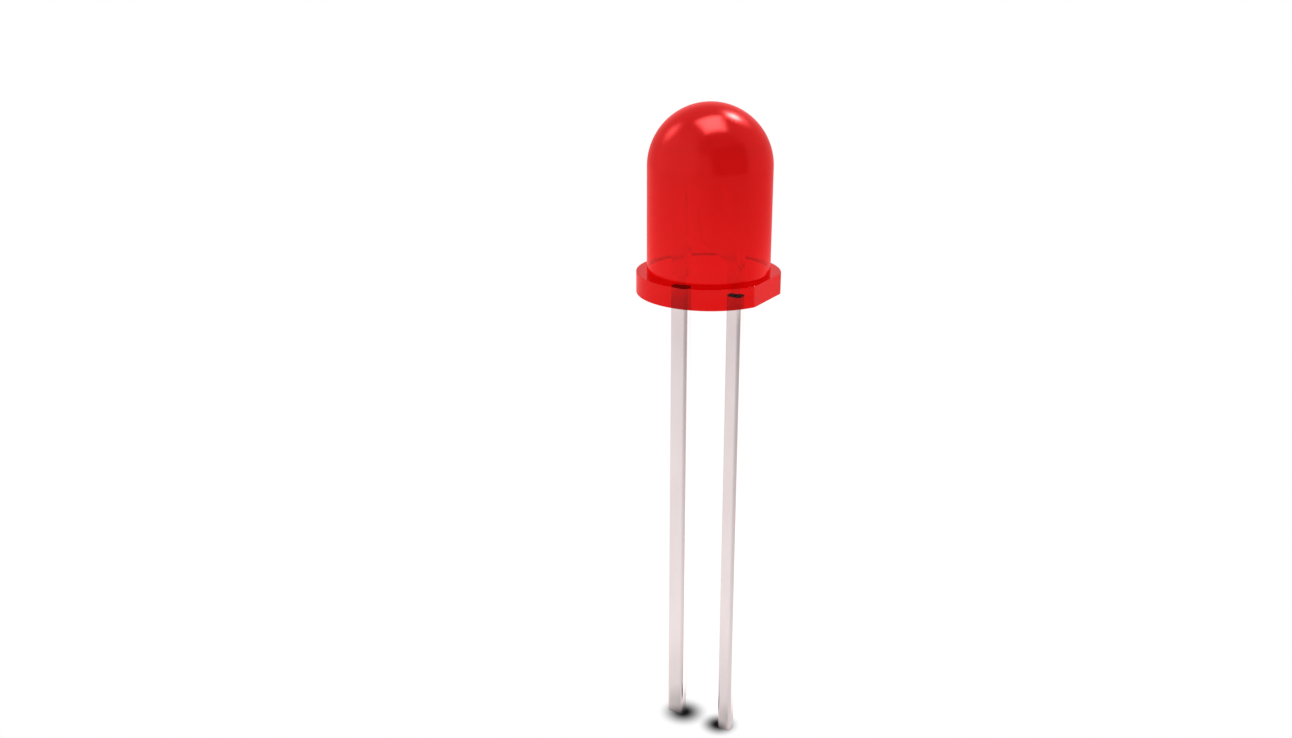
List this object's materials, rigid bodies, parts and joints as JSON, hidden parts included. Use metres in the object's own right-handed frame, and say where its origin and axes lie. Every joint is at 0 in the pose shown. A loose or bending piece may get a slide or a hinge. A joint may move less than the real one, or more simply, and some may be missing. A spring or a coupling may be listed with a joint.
{
  "type": "through hole led",
  "caption": "Through-hole indicator light: red tinted epoxy lens with domed barrel and flatted flange, cast round a stamped lead frame with reflector cup, die and bond wire.",
  "frame": {"origin": "centre of the flange's underside, on the axis of the lens: the plane that seats on the circuit board", "axes": "+Z along the lens axis towards the dome, with the leads running down -Z; the lead frame lies in the XZ plane, and the cathode lead and the flange's flat are on the +X side"},
  "size_m": [0.0056, 0.0058, 0.028],
  "materials": {
    "red_epoxy": "polished, tinted and see-through",
    "plated_lead": "satin tin and silver plating",
    "silver_glue": "matte, filled with silver flake",
    "semiconductor": "polished top, sawn sides",
    "gold_wire": "bright drawn"
  },
  "bodies": {
    "root": {"lens_body": "red_epoxy", "anode_lead": "plated_lead", "cathode_lead": "plated_lead", "die_attach": "silver_glue", "led_die": "semiconductor", "bond_wire": "gold_wire"}
  },
  "joints": []
}
